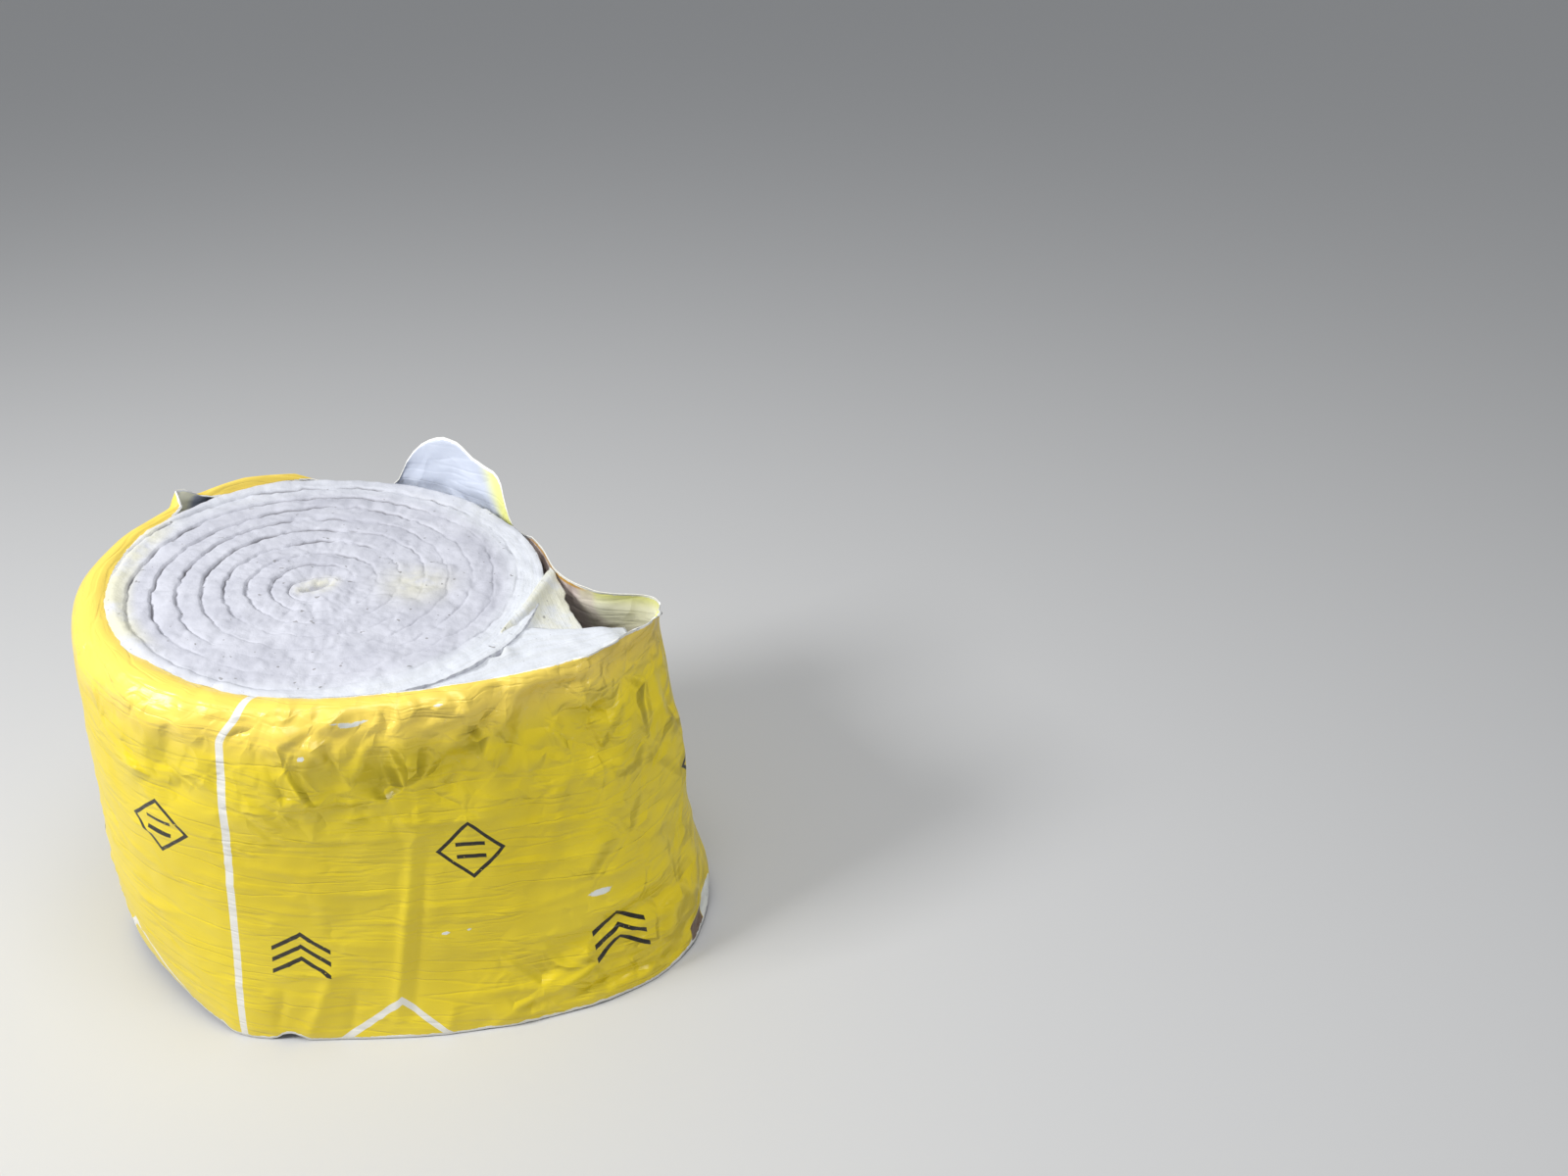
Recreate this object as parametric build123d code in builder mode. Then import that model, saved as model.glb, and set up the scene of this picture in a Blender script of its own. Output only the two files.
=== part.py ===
from build123d import *
from math import cos, radians, sin
import os

os.makedirs("parts", exist_ok=True)

# A sawn-off third of a glass wool roll in its printed polythene film.
# Millimetres, +Z up, standing on its sawn end. The origin is the middle of the roll at the floor,
# and the film's loose corner points along +X. Angles and points across the roll are about its axis.

# The roll of blanket
roll_radius = 236.0
turn_thickness = 23.0
roll_height = 416.0
shoulder_bevel = 15.0
tail_leaves_at = 300.0  # the angle where the blanket's loose end leaves the roll
eye_length = 26.0
eye_width = 5.0
eye_turned = 38.0
eye_place = (-8.0, -14.0)

# The saw cut is out of square, so the roll leans
lean = 6.5
lean_towards = -20.0

# The gap between the turns, as it shows on both ends
turn_gap = 2.4
turn_gap_depth = 6.0

# The blanket's loose end, a band that thins out inside the film's corner
tail_clearance = 5.0
tail_folds = 7  # it reaches this many bends into the film's corner
tail_end_thickness = 16.0
tail_below_top = 9.0
tail_hollow = (211.0, -108.0)
tail_root = (152.0, -137.0)

# The film lies on a circle that is set off from the roll's middle, with its inner end on another
film_thickness = 1.0
film_radius = 235.0
film_centre = (0.0, -5.0)
inner_radius = 223.0
inner_centre = (0.0, 2.5)
free_end_at = 50.0
leaves_at = 270.0
lands_at = 40.0
inner_end_at = 92.0
shoulder_drop = 24.0  # the film starts to turn in this far below the sawn top

# The film's loose corner, from where it leaves the roll to where it comes back under its free end.
# Each row is a point at the foot, the same point at the shoulder, and how far the edge turns in there.
corner_points = [
    ((66, -240), (51, -234), 36.0),
    ((132, -238), (99, -219), 32.0),
    ((201, -229), (146, -197), 25.0),
    ((266, -215), (196, -167), 16.0),
    ((336, -187), (244, -133), 8.0),
    ((401, -138), (286, -95), 2.0),
    ((427, -82), (314, -57), 0.0),
    ((430, -36), (339, -20), 0.0),
    ((404, 32), (333, 13), 0.0),
    ((317, 100), (267, 19), 0.0),
    ((263, 116), (228, 46), 0.0),
    ((214, 131), (201, 97), 0.0),
]

# The edge is turned in over the shoulder, most of all opposite turn_in_least_at.
# Each pair is a height above the roll's top and a share of the turn in.
turn_in = 20.0
turn_in_least_at = 66.0
edge_levels = [(-10.0, 0.08), (0.5, 0.35), (6.0, 1.0)]

# The flap at the film's free end. Each row is the height above the roll's top, the first and last
# angle, how far it leans out and its thickness: its foot takes in the edge that it grows out of.
flap_foot_thickness = 4.0
flap_rows = [
    (-3.0, 53.0, 90.0, 0.0, flap_foot_thickness),
    (7.0, 54.0, 89.0, 1.0, flap_foot_thickness),
    (25.0, 59.0, 86.5, 7.0, film_thickness),
    (50.0, 71.0, 82.0, 18.0, film_thickness),
]

lean_slope = Vector(sin(radians(lean)) * cos(radians(lean_towards)),
                    sin(radians(lean)) * sin(radians(lean_towards)), cos(radians(lean)))
roll_foot = Plane(origin=(0, 0, 0), x_dir=(lean_slope.Z, 0, -lean_slope.X), z_dir=lean_slope)
roll_top = roll_foot.offset(roll_height)
shoulder_height = roll_height - shoulder_drop
# The slanting cut takes this much more than the height off the low side
cut_allowance = 2 * roll_radius * sin(radians(lean))


def on_circle(radius, angle, centre=(0.0, 0.0)):
    return Vector(centre) + Vector(radius * cos(radians(angle)), radius * sin(radians(angle)))


def turn_arcs(first, last, shift=0.0):
    """Half turns of the winding, drawn from two centres, counted inwards from where the tail leaves."""
    for half in range(first, last):
        side = 1 if half % 2 == 0 else -1
        centre = on_circle(side * turn_thickness / 4, tail_leaves_at)
        radius = roll_radius - turn_thickness / 4 - half * turn_thickness / 2 + shift
        CenterArc(centre, radius, tail_leaves_at + 180 * half, -180)


def moved_out(points, out):
    """The bends of a run of straight folds, moved out so that the film keeps its thickness."""
    moved = []
    for before, point, after in zip(points, points[1:], points[2:]):
        along = (after - point).normalized() + (point - before).normalized()
        square = along.normalized().rotate(Axis.Z, -90)
        moved.append(point + square * out / square.dot((after - point).normalized().rotate(Axis.Z, -90)))
    return moved


def folds_at(share_up, turned=0.0):
    """The bends of the loose corner at one height."""
    folds = []
    for foot, shoulder, turned_in in corner_points:
        point = Vector(foot) + (Vector(shoulder) - Vector(foot)) * share_up
        folds.append(point - point.normalized() * turned_in * turned)
    return folds


def film_circle(turned=0.0):
    """Centre and radius of the film round the roll, where its edge is turned in by that share."""
    return Vector(film_centre) + on_circle(turn_in * turned, turn_in_least_at), film_radius - turn_in * turned


def strip_section(plane, runs):
    """The film cut across: each run draws one face of it, moved out by the distance it is given."""
    with BuildSketch(plane) as section:
        with BuildLine():
            outside = runs(film_thickness / 2)
            inside = runs(-film_thickness / 2)
            Line(outside[0], inside[0])
            Line(outside[1], inside[1])
        make_face()
    return section.sketch


def ring_runs(centre, radius, first, last):
    def runs(out):
        ring = CenterArc(centre, radius + out, first, last - first)
        return ring @ 0, ring @ 1
    return runs


def corner_runs(share_up, turned=0.0):
    centre, radius = film_circle(turned)
    folds = [on_circle(radius, leaves_at, centre), *folds_at(share_up, turned),
             on_circle(inner_radius, lands_at, inner_centre)]

    def runs(out):
        leave = on_circle(radius + out, leaves_at, centre)
        land = on_circle(inner_radius + out, lands_at, inner_centre)
        Polyline(leave, *moved_out(folds, out), land)
        return leave, land
    return runs


def edge_runs(turned):
    """The whole film above its shoulder, from its free end round to the end that lies under it."""
    centre, radius = film_circle(turned)
    round_roll = ring_runs(centre, radius, free_end_at, leaves_at)
    corner = corner_runs(1.0, turned)
    under = ring_runs(inner_centre, inner_radius, lands_at, inner_end_at)

    def runs(out):
        corner(out)
        return round_roll(out)[0], under(out)[1]
    return runs


def flap_section(height, first, last, out, thickness):
    """The flap at one height: it leans out from the film's upper edge."""
    with BuildSketch(roll_top.offset(height)) as section:
        with BuildLine():
            inside = CenterArc(film_centre, film_radius + out - thickness / 2, first, last - first)
            outside = CenterArc(film_centre, film_radius + out + thickness / 2, first, last - first)
            Line(inside @ 0, outside @ 0)
            Line(inside @ 1, outside @ 1)
        make_face()
    return section.sketch


# Wool blanket: wound up, with its loose end along the inside of the film's corner
film_leaves = on_circle(film_radius, leaves_at, film_centre)
below = roll_foot.offset(-cut_allowance)
half_turns = int(2 * roll_radius / turn_thickness) - 1
with BuildPart() as wool_blanket:
    with BuildSketch(below) as roll_end:
        with BuildLine():
            turn_arcs(0, 2)
            step = on_circle(roll_radius, tail_leaves_at)
            Line(step, step * (1 - turn_thickness / roll_radius))
        make_face()
    extrude(amount=roll_height + cut_allowance)
    top_rim = wool_blanket.faces().sort_by(Axis.Z)[-1].edges().filter_by(GeomType.CIRCLE)
    chamfer(top_rim, shoulder_bevel)

    with BuildSketch(below) as tail:
        with BuildLine():
            face = Polyline(*moved_out([film_leaves, *folds_at(1.0)], -tail_clearance)[:tail_folds])
            end = Line(face @ 1, (face @ 1) - (face @ 1).normalized() * tail_end_thickness)
            ThreePointArc(end @ 1, tail_hollow, tail_root)
            Line(tail_root, face @ 0)
        make_face()
    extrude(amount=roll_height + cut_allowance - tail_below_top)

    # The gap between the turns
    for end_plane in (roll_top, Plane.XY):
        with BuildSketch(end_plane) as gap:
            with BuildLine():
                turn_arcs(2, half_turns, turn_gap / 2)
                turn_arcs(2, half_turns, -turn_gap / 2)
                for half in (2, half_turns):
                    wound_in = roll_radius - half * turn_thickness / 2
                    side = tail_leaves_at + 180 * half
                    Line(on_circle(wound_in - turn_gap / 2, side), on_circle(wound_in + turn_gap / 2, side))
            make_face()
        extrude(amount=turn_gap_depth, both=True, mode=Mode.SUBTRACT)

    # The pinched eye that the winding leaves
    with BuildSketch(roll_foot) as eye:
        with Locations(eye_place):
            SlotOverall(eye_length, eye_width, rotation=eye_turned)
    extrude(amount=2 * roll_height, both=True, mode=Mode.SUBTRACT)
    split(bisect_by=Plane.XY, keep=Keep.TOP)

wool_blanket.part.label = "wool_blanket"
export_step(wool_blanket.part, "parts/wool_blanket.step")

# Film wrap: one sheet round the roll, turned in over the shoulder, with a loose corner and a flap
shoulder = roll_foot.offset(shoulder_height)
wall_height = shoulder_height + cut_allowance
edge_sections = [strip_section(shoulder, edge_runs(0.0))]
edge_sections += [strip_section(roll_top.offset(height), edge_runs(turned)) for height, turned in edge_levels]
with BuildPart() as film_wrap:
    for ring in ((film_centre, film_radius, free_end_at, leaves_at),
                 (inner_centre, inner_radius, lands_at, inner_end_at)):
        extrude(strip_section(below, ring_runs(*ring)), amount=wall_height)
    loft([strip_section(below, corner_runs(-cut_allowance / shoulder_height)),
          strip_section(shoulder, corner_runs(1.0))], ruled=True)
    loft(edge_sections, ruled=True)
    split(bisect_by=Plane.XY, keep=Keep.TOP)
    loft([flap_section(*row) for row in flap_rows], ruled=True)

film_wrap.part.label = "film_wrap"
export_step(film_wrap.part, "parts/film_wrap.step")
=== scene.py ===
import math

import bmesh
import bpy
import numpy as np
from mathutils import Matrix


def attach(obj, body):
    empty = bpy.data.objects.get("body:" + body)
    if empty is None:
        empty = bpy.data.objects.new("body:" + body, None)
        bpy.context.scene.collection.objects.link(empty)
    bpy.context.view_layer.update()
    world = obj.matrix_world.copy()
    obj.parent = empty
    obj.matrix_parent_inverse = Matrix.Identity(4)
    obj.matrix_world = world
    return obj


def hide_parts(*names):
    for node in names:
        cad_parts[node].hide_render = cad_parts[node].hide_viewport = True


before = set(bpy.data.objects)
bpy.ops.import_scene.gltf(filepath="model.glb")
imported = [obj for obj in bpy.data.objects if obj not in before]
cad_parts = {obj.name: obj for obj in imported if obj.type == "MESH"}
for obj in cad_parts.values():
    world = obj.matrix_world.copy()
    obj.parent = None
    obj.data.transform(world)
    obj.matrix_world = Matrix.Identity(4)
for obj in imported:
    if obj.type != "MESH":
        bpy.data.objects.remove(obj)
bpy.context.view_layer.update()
bpy.ops.object.select_all(action="DESELECT")

# The camera stands where the photograph was taken
bpy.ops.object.camera_add(location=(0.5075, -1.2079, 1.0715), rotation=(math.radians(60.69), 0, 0))
camera = bpy.context.object
camera.data.lens = 30.78
camera.data.sensor_width = 36
bpy.context.scene.camera = camera

# The roll leans. Points on it are given in millimetres: two across its axis and one up along it.
# Angles go round that axis, in degrees from the side of the loose corner.
ROLL_HEIGHT = 416.0
ROLL_RADIUS = 236.0
TURN = 23.0
LEAN, LEAN_TOWARDS = math.radians(6.5), math.radians(-20)
UP = np.array((math.sin(LEAN) * math.cos(LEAN_TOWARDS), math.sin(LEAN) * math.sin(LEAN_TOWARDS),
               math.cos(LEAN)))
RIGHT = np.array((UP[2], 0, -UP[0])) / math.hypot(UP[0], UP[2])
AWAY = np.cross(UP, RIGHT)


# Places, curves and noise

def in_room(across, height):
    """Points of the roll, in millimetres, as points in the room, in metres."""
    return (across[..., :1] * RIGHT + across[..., 1:2] * AWAY + np.asarray(height)[..., None] * UP) / 1000


def floor_height(across):
    """How far along the axis the floor is, below a point of the roll."""
    return -(across[..., 0] * RIGHT[2] + across[..., 1] * AWAY[2]) / UP[2]


def pointing(angle):
    angle = np.radians(angle)
    return np.stack((np.cos(angle), np.sin(angle)), axis=-1)


def angle_of(across):
    return np.degrees(np.arctan2(across[..., 1], across[..., 0]))


def apart(angle, other):
    """The difference between two angles, from -180 to 180."""
    return (angle - other + 180) % 360 - 180


def step(low, high, value):
    """0 up to low and 1 from high on, eased in between, or the other way round where low is the higher."""
    part = np.clip((value - low) / (high - low), 0, 1)
    return part * part * (3 - 2 * part)


def band(value, starts, full_from, full_to, ends):
    """1 within a stretch of values, eased to 0 at both of its ends."""
    return step(starts, full_from, value) * step(ends, full_to, value)


def bell(distance, reach, power=2):
    """1 where the distance is 0, fading out past the reach."""
    return np.exp(-(distance / reach) ** power)


def smooth_through(knots, values, where):
    """A smooth curve through the values that are given at the knots."""
    knots, values = np.asarray(knots, float), np.asarray(values, float)
    slopes = np.gradient(values, knots, axis=0)
    before = np.clip(np.searchsorted(knots, where, side="right") - 1, 0, len(knots) - 2)
    gap = knots[before + 1] - knots[before]
    part = np.clip((where - knots[before]) / gap, 0, 1)
    if values.ndim > 1:
        gap, part = gap[..., None], part[..., None]
    from_first = (2 * part**3 - 3 * part**2 + 1) * values[before]
    from_first_slope = (part**3 - 2 * part**2 + part) * gap * slopes[before]
    from_last = (3 * part**2 - 2 * part**3) * values[before + 1]
    from_last_slope = (part**3 - part**2) * gap * slopes[before + 1]
    return from_first + from_first_slope + from_last + from_last_slope


LUMP_LATTICE = 32  # lumps and facets come again after this many of them
FACET_LATTICE = 97
FAR_OFF = 500.37  # keeps the lattice's corners away from the roll's own axis


def lumps(points, size, seed):
    """Soft noise from -1 to 1 whose lumps are about that size."""
    lattice = np.random.default_rng(seed).uniform(-1, 1, (LUMP_LATTICE,) * 3)
    spot = points / size + FAR_OFF
    cell = np.floor(spot).astype(int)
    part = spot - cell
    part = part * part * (3 - 2 * part)
    total = 0
    for corner in np.ndindex(2, 2, 2):
        weight = np.prod(np.where(corner, part, 1 - part), axis=-1)
        near = (cell + corner) % LUMP_LATTICE
        total = total + weight * lattice[near[..., 0], near[..., 1], near[..., 2]]
    return total


def facets(across, up, size, seed):
    """Flat triangles between points at random heights from -1 to 1, as crumpled film has."""
    lattice = np.random.default_rng(seed).uniform(-1, 1, (FACET_LATTICE,) * 2)
    u = across / size - up / size / math.sqrt(3) + 300.2
    v = 2 * up / size / math.sqrt(3) + 300.6
    i, j = np.floor(u).astype(int), np.floor(v).astype(int)
    fu, fv = u - i, v - j
    corner = [[lattice[(i + a) % FACET_LATTICE, (j + b) % FACET_LATTICE] for b in (0, 1)] for a in (0, 1)]
    lower = corner[0][0] * (1 - fu - fv) + corner[1][0] * fu + corner[0][1] * fv
    upper = corner[1][1] * (fu + fv - 1) + corner[1][0] * (1 - fv) + corner[0][1] * (1 - fu)
    return np.where(fu + fv < 1, lower, upper)


# Meshes

def laid_grid(name, points, **marks):
    """A flat grid of faces whose vertices are then moved to points, an array of rows by columns.

    The marks are kept at the vertices, as an attribute, or as a UV map where a mark has two numbers."""
    rows, columns = points.shape[0] - 1, points.shape[1] - 1
    bpy.ops.mesh.primitive_grid_add(x_subdivisions=columns, y_subdivisions=rows, size=2)
    piece = bpy.context.object
    piece.name = name
    mesh = piece.data
    flat = np.empty(len(mesh.vertices) * 3)
    mesh.vertices.foreach_get("co", flat)
    flat = flat.reshape(-1, 3)
    column = np.rint((flat[:, 0] + 1) / 2 * columns).astype(int)
    row = np.rint((flat[:, 1] + 1) / 2 * rows).astype(int)
    mesh.vertices.foreach_set("co", points[row, column].ravel())
    for mark, values in marks.items():
        if values.ndim == 3:
            corners = np.empty(len(mesh.loops), int)
            mesh.loops.foreach_get("vertex_index", corners)
            mesh.uv_layers.new(name=mark)
            mesh.uv_layers[mark].data.foreach_set("uv", values[row, column][corners].ravel())
        else:
            mesh.attributes.new(mark, "FLOAT", "POINT").data.foreach_set("value", values[row, column].ravel())
    mesh.uv_layers.remove(mesh.uv_layers[0])
    mesh.update()
    return piece


def only(*pieces):
    bpy.ops.object.select_all(action="DESELECT")
    for piece in pieces:
        piece.select_set(True)
    bpy.context.view_layer.objects.active = pieces[0]


def sewn(name, *pieces):
    """The grids as one closed body: edges that meet are merged and holes are filled."""
    only(*pieces)
    if len(pieces) > 1:
        bpy.ops.object.join()
    body = bpy.context.object
    body.name = name
    shell = bmesh.new()
    shell.from_mesh(body.data)
    bmesh.ops.remove_doubles(shell, verts=shell.verts, dist=0.000002)
    rims = [edge for edge in shell.edges if edge.is_boundary]
    filled = bmesh.ops.holes_fill(shell, edges=rims, sides=0)["faces"]
    bmesh.ops.triangulate(shell, faces=filled)
    bmesh.ops.recalc_face_normals(shell, faces=shell.faces)
    shell.to_mesh(body.data)
    shell.free()
    bpy.ops.object.shade_smooth()
    return body


def modified(piece, kind, **settings):
    only(piece)
    modifier = piece.modifiers.new(kind.title(), kind)
    for key, value in settings.items():
        setattr(modifier, key, value)
    bpy.ops.object.modifier_apply(modifier=modifier.name)
    return piece


def normals_of(points):
    """Unit normals of an array of points, out of the side that its rows climb."""
    along = np.gradient(points, axis=1)
    rise = np.gradient(points, axis=0)
    square = np.cross(along, rise)
    return square / np.maximum(np.linalg.norm(square, axis=-1, keepdims=True), 1e-12)


# Finishes

def colour(red, green, blue):
    """A colour as it looks on a screen, from 0 to 255, as Blender wants it."""
    linear = [((c / 255 + 0.055) / 1.055) ** 2.4 if c > 10 else c / 3295 for c in (red, green, blue)]
    return (*linear, 1.0)


class Amount:
    """A value on its way through a finish."""

    def __init__(self, finish, socket):
        self.finish, self.socket = finish, socket

    def math(self, operation, *others):
        return self.finish.node("Math", {"operation": operation}, dict(enumerate((self, *others))))

    def __add__(self, other):
        return self.math("ADD", other)

    def __sub__(self, other):
        return self.math("SUBTRACT", other)

    def __rsub__(self, other):
        return self.math("MULTIPLY", -1.0) + other

    def __mul__(self, other):
        return self.math("MULTIPLY", other)

    def __abs__(self):
        return self.math("ABSOLUTE")

    __radd__ = __add__
    __rmul__ = __mul__

    def rising(self, low, high):
        """0 up to low and 1 from high on."""
        return self.finish.node("MapRange", {"interpolation_type": "SMOOTHSTEP"}, {0: self, 1: low, 2: high})

    def line(self, half_width, soft=0.0003):
        """1 where the value is nearer to 0 than half_width."""
        return 1 - abs(self).rising(half_width - soft, half_width + soft)

    def from_nearest(self, spacing, first=0.0):
        """How far it is from the nearest of the places that lie spacing apart, from first on."""
        return (self + (100.5 * spacing - first)).math("MODULO", spacing) - spacing / 2


class Finish:
    """A material that is put together from nodes."""

    def __init__(self, name):
        self.material = bpy.data.materials.new(name)
        self.material.use_nodes = True
        self.tree = self.material.node_tree
        self.tree.nodes.clear()

    def node(self, kind, settings=None, sockets=None, output=0):
        node = self.tree.nodes.new("ShaderNode" + kind)
        for key, value in (settings or {}).items():
            setattr(node, key, value)
        for key, value in (sockets or {}).items():
            if isinstance(value, Amount):
                self.tree.links.new(value.socket, node.inputs[key])
            else:
                node.inputs[key].default_value = value
        return Amount(self, node.outputs[output]) if node.outputs else None

    def mix(self, share, first, second):
        return self.node("Mix", {"data_type": "RGBA"}, {0: share, 6: first, 7: second}, output=2)

    def noise(self, where, scale, detail=3.0, roughness=0.55, stretch=None):
        if stretch:
            where = self.node("Mapping", None, {0: where, 3: stretch})
        sockets = {"Vector": where, "Scale": scale, "Detail": detail, "Roughness": roughness}
        return self.node("TexNoise", None, sockets)

    def mark(self, name):
        return self.node("Attribute", {"attribute_name": name}, output=2)

    def place(self):
        return self.node("TexCoord", output=3)

    def parts(self, vector):
        """The first two numbers of a vector."""
        first = self.node("SeparateXYZ", None, {0: vector})
        return first, Amount(self, first.socket.node.outputs[1])

    def bump(self, height, strength, distance, normal=None):
        sockets = {"Height": height, "Strength": strength, "Distance": distance}
        if normal:
            sockets["Normal"] = normal
        return self.node("Bump", None, sockets)

    def vector(self, operation, first, second, output=0):
        return self.node("VectorMath", {"operation": operation}, {0: first, 1: second}, output)

    def flat_facets(self, where, per_metre, steepest):
        """Heights in metres of a surface of flat pieces, each tilted its own way."""
        sockets = {"Vector": where, "Scale": per_metre}
        tilt = self.vector("SUBTRACT", self.node("TexVoronoi", None, sockets, output=1), (0.5, 0.5, 0.5))
        offset = self.vector("SUBTRACT", where, self.node("TexVoronoi", None, sockets, output=2))
        border = self.node("TexVoronoi", {"feature": "DISTANCE_TO_EDGE"}, sockets)
        return self.vector("DOT_PRODUCT", tilt, offset, output=1) * (2 * steepest) * border.rising(0.0, 0.3)

    def surface(self, **sockets):
        named = {key.replace("_", " "): value for key, value in sockets.items()}
        self.node("OutputMaterial", None, {"Surface": self.node("BsdfPrincipled", None, named)})
        return self.material


# Film: its line round the roll

# It runs from its free end at the back, round the front, along the loose corner and under the free end
# again. Each corner row: at the foot, at the shoulder, turned in by.
CORNER = [
    ((66, -240), (51, -234), 36), ((132, -238), (99, -219), 32), ((201, -229), (146, -197), 25),
    ((266, -215), (196, -167), 16), ((336, -187), (244, -133), 8), ((401, -138), (286, -95), 2),
    ((427, -82), (314, -57), 0), ((430, -36), (339, -20), 0), ((404, 32), (333, 13), 0),
    ((317, 100), (267, 19), 0), ((263, 116), (228, 46), 0), ((214, 131), (201, 97), 0),
]
SHOULDER = 392.0  # the height that the shoulder points are at
FILM_CENTRE, FILM_RADIUS = (0, -5), 235
UNDER_CENTRE, UNDER_RADIUS = (0, 2.5), 223
FREE_END_AT, LEAVES_AT = 43, 270
LANDS_AT, INNER_END_AT = 40, 92
TURN_IN, TURN_IN_LEAST_AT = 20, 66
FLAP_END = 95  # the flap is on the film's line before this angle
SECOND_ROUND = 45  # an angle below this is on the line's second time round

ring = pointing(np.linspace(FREE_END_AT, LEAVES_AT, 24))
under = UNDER_CENTRE + UNDER_RADIUS * pointing(np.linspace(LANDS_AT, INNER_END_AT, 7))
corner_foot, corner_shoulder, corner_turned = (np.array(column, float) for column in zip(*CORNER))
inwards = -corner_shoulder / np.linalg.norm(corner_shoulder, axis=1, keepdims=True)
foot_line = np.concatenate((FILM_CENTRE + FILM_RADIUS * ring, corner_foot, under))
shoulder_line = np.concatenate((FILM_CENTRE + FILM_RADIUS * ring, corner_shoulder, under))
turn_in_line = np.concatenate((TURN_IN * (pointing(TURN_IN_LEAST_AT) - ring),
                               inwards * corner_turned[:, None], under * 0))
middle_line = (foot_line + shoulder_line) / 2
stations = np.concatenate(((0,), np.cumsum(np.linalg.norm(np.diff(middle_line, axis=0), axis=1))))

# The columns are finer where the photograph shows the film from near
FINE_COLUMN, COARSE_COLUMN = 3.1, 8.4
FINE_FROM, FINE_TO = 188, 372
trial = np.linspace(0, stations[-1], 3000)
trial_points = smooth_through(stations, middle_line, trial)
trial_around = np.degrees(np.unwrap(np.arctan2(trial_points[:, 1], trial_points[:, 0])))
shown_near = (trial_around > FINE_FROM) & (trial_around < FINE_TO)
fineness = np.where(shown_near, 1 / FINE_COLUMN, 1 / COARSE_COLUMN)
counted = np.concatenate(((0,), np.cumsum((fineness[1:] + fineness[:-1]) / 2 * np.diff(trial))))
along = np.interp(np.linspace(0, counted[-1], int(counted[-1]) + 1), counted, trial)
around = np.interp(along, trial, trial_around)


def along_at(angle):
    return np.interp(angle, trial_around, trial)


def unevenness(size, seed):
    """Soft noise from -1 to 1 along the film's line."""
    return lumps(np.stack((along, along * 0, along * 0), axis=-1), size, seed)


# Film: its upper edge and its foot

# Each row: the angle, the levels above the sawn top of four points of the rounded shoulder, and the
# share of the turn in that is kept there.
EDGE = [
    (41.0, -38, -34, -30, -27, 1), (43.0, -34, -28, -22, -17, 1), (45.6, -30, -22, -14, -7, 1),
    (47.6, -26, -15, -6, 3, 1), (50.2, -22, -8, 4, 15, 1), (52.7, -18, -1, 13, 26, 1),
    (55.7, -15, 4, 20, 34, 1), (60.8, -13, 6, 22, 36, 1), (66.0, -11, 9, 26, 41, 1),
    (68.2, -10, 12, 30, 46, 1), (71.1, -8, 15, 33, 51, 1), (75.4, -7, 16, 35, 53, 1),
    (78.3, -8, 14, 32, 50, 1), (81.5, -10, 10, 27, 43, 1), (85.1, -15, 0, 15, 28, 1),
    (86.7, -20, -8, 4, 15, 1), (87.6, -22, -12, -4, 3, 1), (89.2, -26, -20, -14, -8, 1),
    (94.0, -28, -22, -16, -11, 1), (105.0, -26, -18, -12, -8, 1), (112.0, -18, -8, -4, -3, 1),
    (117.0, -12, 4, 5, -3, 1.1), (124.0, -10, 6, 8, -2, 1.15), (132.0, -9, 9, 11, -2, 1.2),
    (140.0, -9, 8, 10, -2, 1.2), (146.0, -9, 6, 8, 2, 1), (148.5, -8, 7, 13, 19, 0.4),
    (151.6, -8, 7, 14, 21, 0.3), (153.0, -10, 2, 4, 1, 0.8), (160.0, -10, 0.5, 2.5, -2, 1.05),
    (175.0, -10, 1, 3, -2, 1.05), (250.0, -10, 1, 3, -1, 1.05), (292.0, -10, 1, 4, 2, 1),
    (330.0, -10, 0.5, 4.5, 5, 1), (388.0, -10, 0.5, 4.5, 5.5, 1), (394.0, -12, -3, 0, 2, 1),
    (398.0, -18, -12, -9, -7, 1), (406.0, -26, -20, -16, -13, 1), (455.0, -26, -20, -16, -13, 1),
]
SPIKE_AT = 149.5  # the pointed tear at the back of the edge
WALL_ROWS, EDGE_ROWS = 94, 20
WALL_TOP = -45.0  # the level where the wall's rows end and the shoulder's begin
edge_angle, *edge_levels, edge_turn = np.array(EDGE, float).T
levels = np.stack([np.interp(around, edge_angle, edge_level) for edge_level in edge_levels])
levels[3] += 0.8 * unevenness(14, 3)
kept_turn = np.interp(around, edge_angle, edge_turn)
shoulder_knots = (0, 0.22, 0.45, 0.65, 0.83, 1)
shoulder_shares = (0, 0, 0.08, 0.35, 0.68, 1)
shoulder_levels = np.stack((levels[0] * 0 + WALL_TOP, np.minimum(levels[0] - 3, -24), *levels))
edge_where = np.linspace(0, 1, EDGE_ROWS + 1)[1:]
rounded_levels = smooth_through(shoulder_knots, shoulder_levels, edge_where)
rounded_shares = smooth_through(shoulder_knots, shoulder_shares, edge_where)

# How far the foot is off the floor, how far it is drawn in there and how shredded it is, by the angle
FOOT_LIFT = [(48, 3), (120, 2), (175, 4), (190, 8), (200, 11), (212, 15), (225, 17), (238, 15), (247, 11),
             (253, 8), (256, 3), (262, 1.5), (267, 2), (270.5, 10), (272.5, 9), (275, 2), (300, 1.5),
             (325, 1.5), (345, 3), (352, 8), (357, 17), (362, 9), (370, 4), (455, 3)]
FOOT_TUCK = [(48, 0), (188, 0), (200, 5), (210, 15), (219, 22), (228, 25), (238, 21), (246, 13), (252, 7),
             (257, 2), (262, 0), (455, 0)]
SHREDS = [(48, 1), (194, 1), (200, 3), (212, 3), (246, 2), (256, 1), (268, 1), (272, 5), (284, 5), (290, 1),
          (345, 1), (350, 4), (366, 4), (370, 1)]
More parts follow.
